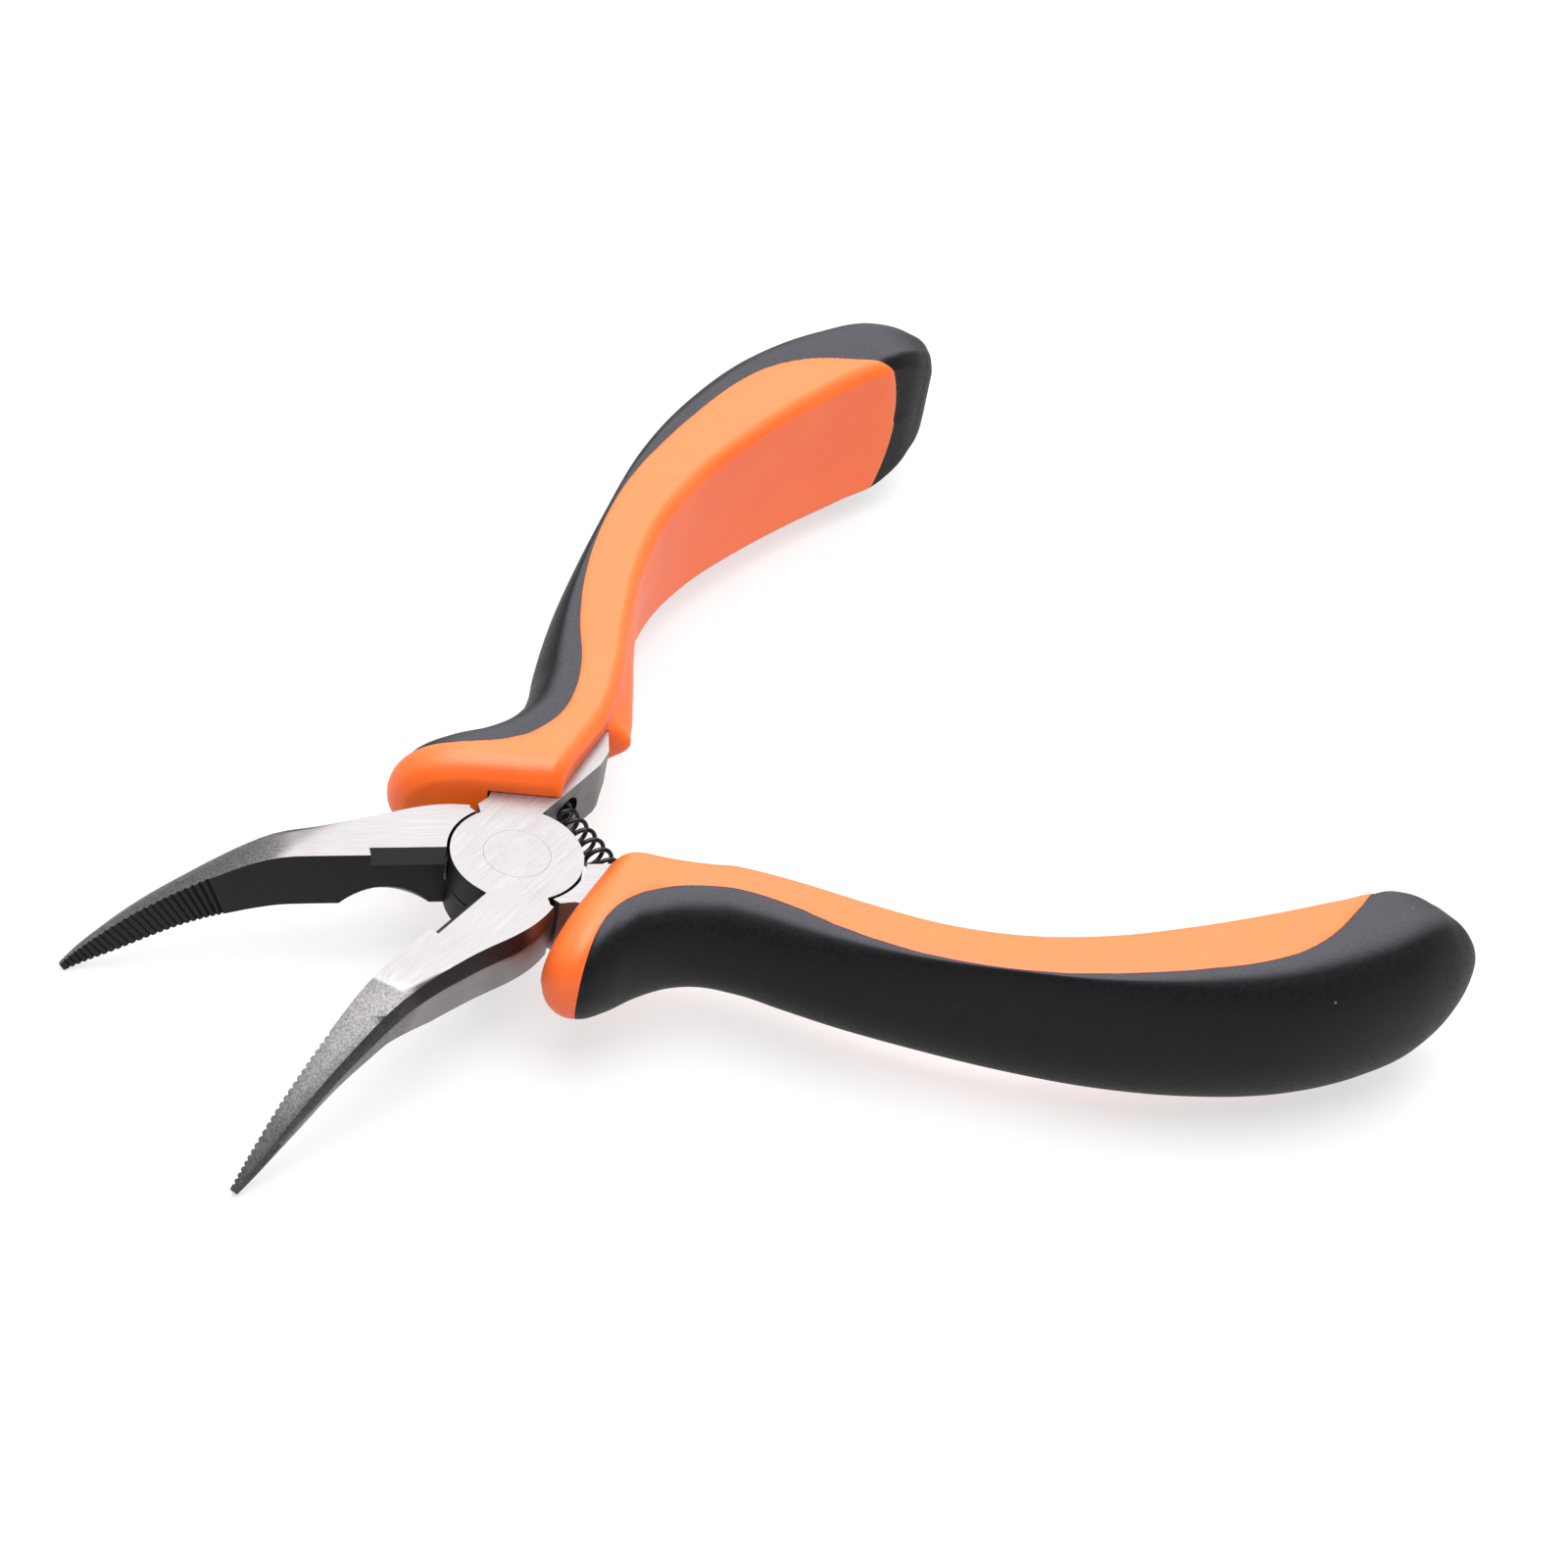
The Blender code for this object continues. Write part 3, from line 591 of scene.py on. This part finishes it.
def build_rivet(material):
    """The rivet, turned from half its outline, so that only a hairline shows round its head."""
    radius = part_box("pivot_rivet")[1].x / MM + RIVET_FILL
    shank = radius - RIVET_SHANK_STEP
    profile = (
        (0.0, JOINT_TOP + RIVET_PROUD),
        (radius - 2 * RIVET_PROUD, JOINT_TOP + RIVET_PROUD),
        (radius, JOINT_TOP - RIVET_PROUD),
        (radius, JOINT_TOP - RIVET_RIM_DEPTH),
        (shank, JOINT_TOP - RIVET_HEAD_DEPTH),
        (shank, RIVET_HEAD_DEPTH),
        (radius, RIVET_RIM_DEPTH),
        (radius, RIVET_UNDER_ROUNDING),
        (radius - RIVET_UNDER_ROUNDING - RIVET_PROUD, -RIVET_PROUD),
        (0.0, -RIVET_PROUD),
    )
    bm = bmesh.new()
    verts = [bm.verts.new((r * MM, 0.0, z * MM)) for r, z in profile]
    for a, b in zip(verts, verts[1:]):
        bm.edges.new((a, b))
    bmesh.ops.spin(
        bm,
        geom=bm.verts[:] + bm.edges[:],
        axis=(0, 0, 1),
        cent=(0, 0, 0),
        steps=RIVET_TURN_STEPS,
        angle=2 * math.pi,
    )
    bmesh.ops.remove_doubles(bm, verts=bm.verts, dist=WELD)
    rivet = add("rivet", mesh_from("rivet", bm))
    shade(rivet, material, RIVET_ANGLE)
    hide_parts("pivot_rivet")
    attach(rivet, "top_half")


# ---------------------------------------------------------------- materials


class Shader:
    """A material's node tree, with short calls to add and link nodes."""

    def __init__(self, name):
        self.material = bpy.data.materials.new(name)
        self.material.use_nodes = True
        self.tree = self.material.node_tree
        self.surface = self.tree.nodes["Principled BSDF"]

    def node(self, kind, inputs=(), **settings):
        made = self.tree.nodes.new(f"ShaderNode{kind}")
        for name, value in settings.items():
            setattr(made, name, value)
        for name, value in dict(inputs).items():
            self.give(made.inputs[name], value)
        return made

    def give(self, socket, value):
        if isinstance(value, bpy.types.NodeSocket):
            self.tree.links.new(value, socket)
        else:
            socket.default_value = value

    def set(self, **values):
        for name, value in values.items():
            self.give(self.surface.inputs[name.replace("_", " ")], value)

    def maths(self, operation, *values):
        made = self.tree.nodes.new("ShaderNodeMath")
        made.operation = operation
        for socket, value in zip(made.inputs, values):
            self.give(socket, value)
        return made.outputs[0]

    def step(self, value, low, high, to_low=0.0, to_high=1.0):
        """Smoothly from one value to another as the input goes from low to high."""
        limits = {"From Min": low, "From Max": high, "To Min": to_low, "To Max": to_high}
        made = self.node("MapRange", {"Value": value, **limits}, interpolation_type="SMOOTHSTEP")
        return made.outputs["Result"]

    def mix(self, share, a, b):
        """One colour or the other, by a share."""
        made = self.tree.nodes.new("ShaderNodeMix")
        made.data_type = "RGBA"
        self.give(made.inputs[0], share)
        self.give(made.inputs[6], a)
        self.give(made.inputs[7], b)
        return made.outputs[2]

    def blend(self, share, a, b):
        """One number or the other, by a share."""
        made = self.tree.nodes.new("ShaderNodeMix")
        self.give(made.inputs[0], share)
        self.give(made.inputs[2], a)
        self.give(made.inputs[3], b)
        return made.outputs[0]

    def half_frame(self, source, side):
        """Object coordinates or normals turned back into the half frame."""
        made = self.node("Mapping", {"Vector": source}, vector_type="TEXTURE")
        made.inputs["Rotation"].default_value = (0.0, 0.0, side * HALF_OPENING)
        made.inputs["Scale"].default_value = (1.0, side, 1.0)
        return made.outputs["Vector"]

    def noise(self, vector, scale, detail=3.0, roughness=0.5, stretch=(1.0, 1.0, 1.0)):
        scaled = self.node("Mapping", {"Vector": vector, "Scale": stretch})
        made = self.node(
            "TexNoise",
            {"Vector": scaled.outputs["Vector"], "Scale": scale, "Detail": detail, "Roughness": roughness},
        )
        return made.outputs["Fac"]

    def bump(self, height, strength, distance):
        made = self.node("Bump", {"Height": height, "Strength": strength, "Distance": distance})
        self.set(Normal=made.outputs["Normal"])


def rgb(red, green, blue):
    return (red, green, blue, 1.0)


def brushed_colour(s, streak):
    """The brushed steel shared by the joint and the rivet."""
    return s.mix(s.step(streak, 0.3, 0.75), rgb(0.325, 0.31, 0.315), rgb(0.40, 0.386, 0.390))


def lever_material(name, side):
    """The looks of one lever, told apart by place and facing in the half frame.

    A brushed top, a blasted nose, dull flanks, a tang painted darker as painted shade, painted shade
    on the facet and chamfer along the outside of the jaw, black inner faces with a painted sheen on
    their upward bevels, and a disc wall painted black as painted shade.
    """
    s = Shader(name)
    coords = s.node("TexCoord")
    place_in = s.half_frame(coords.outputs["Object"], side)
    facing = s.half_frame(coords.outputs["Normal"], side)
    at = s.node("SeparateXYZ", {"Vector": place_in}).outputs
    turn = s.node("SeparateXYZ", {"Vector": facing}).outputs
    x, y = at["X"], at["Y"]
    across, up = turn["Y"], turn["Z"]
    tilt = s.maths("ABSOLUTE", up)

    streak = s.noise(place_in, 9000.0, 2.0, 0.6, BRUSH)
    fine = s.noise(place_in, 26000.0, 1.0, 0.5, FINE_BRUSH)
    cloud = s.noise(place_in, 260.0, 3.0, 0.6)
    grain = s.noise(place_in, 9000.0, 2.0, 0.7)
    sand = s.noise(place_in, 4200.0, 3.0, 0.75)

    # The polished top, and the nose in front of it, with an uneven edge between them
    slope, polish_from, polish_full = POLISH_END[side]
    rough_edge = s.maths("MULTIPLY_ADD", grain, ROUGH_EDGE, x)
    slant = s.maths("MULTIPLY_ADD", y, slope, rough_edge)
    in_polish = s.step(slant, polish_from, polish_full)
    polished = s.maths("MULTIPLY", s.step(tilt, *FACES_UP), in_polish)
    nose = s.step(rough_edge, *NOSE_START)

    # The black inner face of the jaw, its bevel with a painted sheen where it faces up, and the wall
    # round the disc, painted black as painted shade
    radius = s.maths("SQRT", s.maths("ADD", s.maths("MULTIPLY", x, x), s.maths("MULTIPLY", y, y)))
    # Painted shade: the disc's upright wall is painted black along with the inner face
    wall_shade = s.maths("MULTIPLY", s.step(radius, *DISC_WALL), s.step(tilt, *WALL_UPRIGHT))
    inner_face = s.maths("MULTIPLY", s.step(across, *INNER_OUTWARD), s.step(x, *BLACK_AHEAD_OF))
    inner = s.maths("MAXIMUM", inner_face, wall_shade)
    bevel = s.maths("MULTIPLY", inner, s.step(up, *BEVEL_UPWARD))

    # The facet on the outside and the chamfer above it as far as the nose, with painted shade that
    # stands in for a dark reflection
    facet = s.maths("MULTIPLY", s.step(across, *FACET_OUTWARD), s.step(up, *FACET_UPWARD))
    chamfer = s.maths("MULTIPLY", s.step(across, *CHAMFER_OUTWARD), s.step(up, *CHAMFER_BELOW))
    chamfer = s.maths("MULTIPLY", chamfer, s.step(up, *CHAMFER_ABOVE))
    facet_shade = s.maths("MAXIMUM", facet, s.maths("MULTIPLY", chamfer, s.maths("SUBTRACT", 1.0, nose)))
    facet_shade = s.maths("MULTIPLY", facet_shade, s.step(x, *FACET_SHADE_AHEAD_OF))
    facet_shade = s.maths("MULTIPLY", facet_shade, s.blend(nose, FACET_SHADE_STRENGTH["jaw"], FACET_SHADE_STRENGTH["nose"]))
    # Painted shade: the tang's upright walls, between the grips, are painted darker than the flanks
    tang = s.maths("MULTIPLY", s.step(x, *TANG_BEHIND), s.step(tilt, *TANG_UPRIGHT))

    bright = s.mix(s.step(cloud, 0.45, 0.8, 0.0, 0.35), brushed_colour(s, streak), rgb(0.33, 0.28, 0.27))
    flank = s.mix(s.step(cloud, 0.3, 0.7), rgb(0.205, 0.187, 0.190), rgb(0.285, 0.262, 0.268))
    # Painted shade on the tang's walls
    flank = s.mix(tang, flank, rgb(0.115, 0.107, 0.110))
    blasted = s.mix(s.step(sand, 0.35, 0.65), rgb(0.115, 0.109, 0.112), rgb(0.22, 0.212, 0.215))
    black = s.mix(s.step(grain, 0.3, 0.75), rgb(0.006, 0.006, 0.007), rgb(0.014, 0.0135, 0.015))
    # Painted sheen: the inner face's bevel is a little lighter where it faces up
    black = s.mix(bevel, black, rgb(0.032, 0.030, 0.033))

    colour = s.mix(nose, flank, blasted)
    colour = s.mix(polished, colour, bright)
    # Painted shade: the outside facet and chamfer painted dark
    colour = s.mix(facet_shade, colour, rgb(0.030, 0.028, 0.030))
    colour = s.mix(inner, colour, black)
    roughness = s.blend(nose, s.step(cloud, 0.3, 0.7, 0.38, 0.5), 0.48)
    roughness = s.blend(polished, roughness, s.step(fine, 0.3, 0.7, 0.27, 0.42))
    roughness = s.blend(inner, roughness, 0.48)
    s.set(
        Base_Color=colour,
        Roughness=roughness,
        Metallic=s.blend(inner, 1.0, 0.2),
        Specular_IOR_Level=s.blend(inner, 0.5, 0.22),
    )
    brushed = s.maths("MULTIPLY", fine, polished)
    blast = s.maths("MULTIPLY", grain, s.maths("SUBTRACT", 1.0, polished))
    s.bump(s.maths("ADD", s.maths("MULTIPLY", brushed, 0.35), blast), 0.35, 0.00004)
    return s.material


def rivet_material():
    """Brushed like the joint round it, with a light stain."""
    s = Shader("rivet_brushed_steel")
    coords = s.node("TexCoord").outputs["Object"]
    streak = s.noise(s.half_frame(coords, SIDES["top"]), 9000.0, 2.0, 0.6, BRUSH)
    cloud = s.noise(coords, 900.0, 3.0, 0.65)
    colour = brushed_colour(s, streak)
    colour = s.mix(s.step(cloud, 0.5, 0.75, 0.0, 0.4), colour, rgb(0.30, 0.25, 0.22))
    s.set(Base_Color=colour, Metallic=1.0, Roughness=s.step(streak, 0.3, 0.7, 0.28, 0.42))
    s.bump(streak, 0.2, 0.00003)
    return s.material


def spring_material():
    """Blackened wire, lightly clouded."""
    s = Shader("blackened_spring_wire")
    coords = s.node("TexCoord").outputs["Object"]
    cloud = s.noise(coords, 2500.0)
    s.set(
        Base_Color=s.mix(s.step(cloud, 0.35, 0.7), rgb(0.012, 0.011, 0.012), rgb(0.05, 0.045, 0.045)),
        Metallic=0.7,
        Roughness=s.step(cloud, 0.3, 0.7, 0.28, 0.42),
    )
    s.bump(cloud, 0.15, 0.00003)
    return s.material


def orange_material():
    """Satin orange plastic, with painted highlight where it faces up and painted shade where it faces
    down.
    """
    s = Shader("orange_moulded_plastic")
    coord_node = s.node("TexCoord")
    coords = coord_node.outputs["Object"]
    up = s.node("SeparateXYZ", {"Vector": coord_node.outputs["Normal"]}).outputs["Z"]
    cloud = s.noise(coords, 120.0, 2.0)
    grain = s.noise(coords, 5200.0, 2.0, 0.6)
    colour = s.mix(s.step(cloud, 0.3, 0.7), rgb(0.91, 0.125, 0.008), rgb(0.94, 0.145, 0.011))
    # Painted highlight: lighter where it faces up
    colour = s.mix(s.step(up, 0.6, 1.0), colour, rgb(0.94, 0.168, 0.031))
    # Painted shade: deeper red where it faces down
    colour = s.mix(s.step(up, 0.0, -0.7), colour, rgb(0.78, 0.075, 0.004))
    s.set(
        Base_Color=colour,
        Roughness=s.step(grain, 0.3, 0.7, 0.42, 0.54),
        Subsurface_Weight=0.10,
        Subsurface_Radius=(0.0012, 0.0004, 0.0002),
        Subsurface_Scale=1.0,
        Specular_IOR_Level=0.6,
    )
    s.bump(grain, 0.12, 0.00004)
    return s.material


def black_material():
    """Soft black rubber: pebbled, a few light specks, and a painted sheen that makes it greyer where it
    faces up.
    """
    s = Shader("black_soft_overmould")
    coord_node = s.node("TexCoord")
    coords = coord_node.outputs["Object"]
    up = s.node("SeparateXYZ", {"Vector": coord_node.outputs["Normal"]}).outputs["Z"]
    pebble = s.node("TexVoronoi", {"Vector": coords, "Scale": 3600.0}, feature="SMOOTH_F1")
    grain = s.noise(coords, 2600.0, 3.0, 0.6)
    speck = s.node("TexVoronoi", {"Vector": coords, "Scale": 330.0, "Randomness": 1.0})
    chance = s.node("SeparateColor", {"Color": speck.outputs["Color"]}).outputs[0]
    dot = s.maths("MULTIPLY", s.step(speck.outputs["Distance"], 0.055, 0.03), s.step(chance, 0.90, 0.91))
    colour = s.mix(s.step(grain, 0.3, 0.7), rgb(0.005, 0.005, 0.006), rgb(0.0085, 0.0085, 0.010))
    # Painted sheen: greyer where it faces up, varied by the grain
    painted_sheen = s.maths("MULTIPLY", s.step(up, 0.76, 1.0), s.step(grain, 0.2, 0.8, 0.7, 1.0))
    colour = s.mix(painted_sheen, colour, rgb(0.066, 0.064, 0.076))
    colour = s.mix(s.maths("MULTIPLY", dot, 0.5), colour, rgb(0.4, 0.4, 0.4))
    s.set(
        Base_Color=colour,
        Roughness=s.step(grain, 0.3, 0.7, 0.46, 0.58),
        Specular_IOR_Level=0.15,
    )
    s.bump(s.maths("ADD", pebble.outputs["Distance"], grain), 0.22, 0.00006)
    return s.material


def smooth_shading(obj, angle):
    """A modifier that welds doubled points and shades smooth across shallow edges."""
    tree = bpy.data.node_groups.new(f"{obj.name}_smooth", "GeometryNodeTree")
    tree.interface.new_socket("Geometry", in_out="INPUT", socket_type="NodeSocketGeometry")
    tree.interface.new_socket("Geometry", in_out="OUTPUT", socket_type="NodeSocketGeometry")
    begin, end = tree.nodes.new("NodeGroupInput"), tree.nodes.new("NodeGroupOutput")
    weld = tree.nodes.new("GeometryNodeMergeByDistance")
    weld.inputs["Distance"].default_value = WELD
    faces = tree.nodes.new("GeometryNodeSetShadeSmooth")
    edges = tree.nodes.new("GeometryNodeSetShadeSmooth")
    edges.domain = "EDGE"
    bend = tree.nodes.new("GeometryNodeInputMeshEdgeAngle")
    shallow = tree.nodes.new("FunctionNodeCompare")
    shallow.operation = "LESS_EQUAL"
    shallow.inputs[1].default_value = math.radians(angle)
    link = tree.links.new
    link(begin.outputs[0], weld.inputs["Geometry"])
    link(weld.outputs["Geometry"], faces.inputs["Geometry"])
    link(faces.outputs["Geometry"], edges.inputs["Geometry"])
    link(bend.outputs["Unsigned Angle"], shallow.inputs[0])
    link(shallow.outputs["Result"], edges.inputs["Shade Smooth"])
    link(edges.outputs["Geometry"], end.inputs[0])
    obj.modifiers.new("smooth shading", "NODES").node_group = tree


def round_edges(obj, width):
    """A small bevel on every sharp edge, so that edges catch the light."""
    modifier = obj.modifiers.new("rounded edges", "BEVEL")
    modifier.width = width
    modifier.segments = 2
    modifier.limit_method = "ANGLE"
    modifier.angle_limit = math.radians(ROUNDED_FROM_ANGLE)
    modifier.harden_normals = True


# ---------------------------------------------------------------- studio


def build_floor():
    """A pale floor that gives off part of its own light, so that shadows on it stay faint."""
    bm = bmesh.new()
    bmesh.ops.create_grid(bm, x_segments=8, y_segments=8, size=FLOOR_SIZE)
    floor = add("floor", mesh_from("floor", bm))
    floor.location.z = CAD_BOX[0].z - FLOOR_DROP
    s = Shader("pale_floor")
    tone = s.noise(s.node("TexCoord").outputs["Object"], 3.0)
    s.set(
        Base_Color=s.mix(tone, rgb(0.26, 0.26, 0.26), rgb(0.28, 0.28, 0.28)),
        Roughness=0.9,
        Emission_Color=rgb(1.0, 1.0, 1.0),
        Emission_Strength=FLOOR_GLOW,
    )
    floor.data.materials.append(s.material)


def build_camera():
    camera = add("camera", bpy.data.cameras.new("camera"))
    camera.location = CAMERA_AT
    camera.rotation_euler = Euler([math.radians(a) for a in CAMERA_TURN], "XYZ")
    camera.data.sensor_width = SENSOR_MM
    camera.data.lens = LENS_MM
    camera.data.clip_start, camera.data.clip_end = CAMERA_CLIP
    bpy.context.scene.camera = camera


def build_softbox(name, at, size, watts):
    data = bpy.data.lights.new(name, "AREA")
    data.shape = "RECTANGLE"
    data.size, data.size_y = size
    data.energy = watts
    lamp = add(name, data)
    lamp.location = at
    lamp.rotation_euler = (Vector(LIGHTS_AIM) - Vector(at)).to_track_quat("-Z", "Y").to_euler()


def build_sky():
    """White light from all round, brighter from one side."""
    world = bpy.data.worlds.new("studio")
    bpy.context.scene.world = world
    world.use_nodes = True
    tree = world.node_tree
    aim = tree.nodes.new("ShaderNodeTexCoord").outputs["Generated"]
    facing = tree.nodes.new("ShaderNodeVectorMath")
    facing.operation = "DOT_PRODUCT"
    tree.links.new(aim, facing.inputs[0])
    facing.inputs[1].default_value = SKY_BRIGHT_SIDE
    ramp = tree.nodes.new("ShaderNodeMapRange")
    ramp.interpolation_type = "SMOOTHSTEP"
    for socket, value in SKY_RAMP.items():
        ramp.inputs[socket].default_value = value
    tree.links.new(facing.outputs["Value"], ramp.inputs["Value"])
    tree.links.new(ramp.outputs["Result"], tree.nodes["Background"].inputs["Strength"])
    tree.nodes["Background"].inputs["Color"].default_value = rgb(1.0, 1.0, 1.0)


def build_studio():
    build_floor()
    build_camera()
    for name, (at, size, watts) in SOFTBOXES.items():
        build_softbox(name, at, size, watts)
    build_sky()
    bpy.context.scene.view_settings.view_transform = "Standard"


def main():
    build_studio()
    orange, black = orange_material(), black_material()
    for label, side in SIDES.items():
        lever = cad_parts[f"{label}_lever"]
        lever.data.materials.clear()
        lever.data.materials.append(lever_material(f"{label}_lever_steel", side))
        smooth_shading(lever, LEVER_ANGLE)
        round_edges(lever, LEVER_ROUNDING)
        build_grip(label, side, orange, black)
    build_rivet(rivet_material())
    build_spring(spring_material())


main()
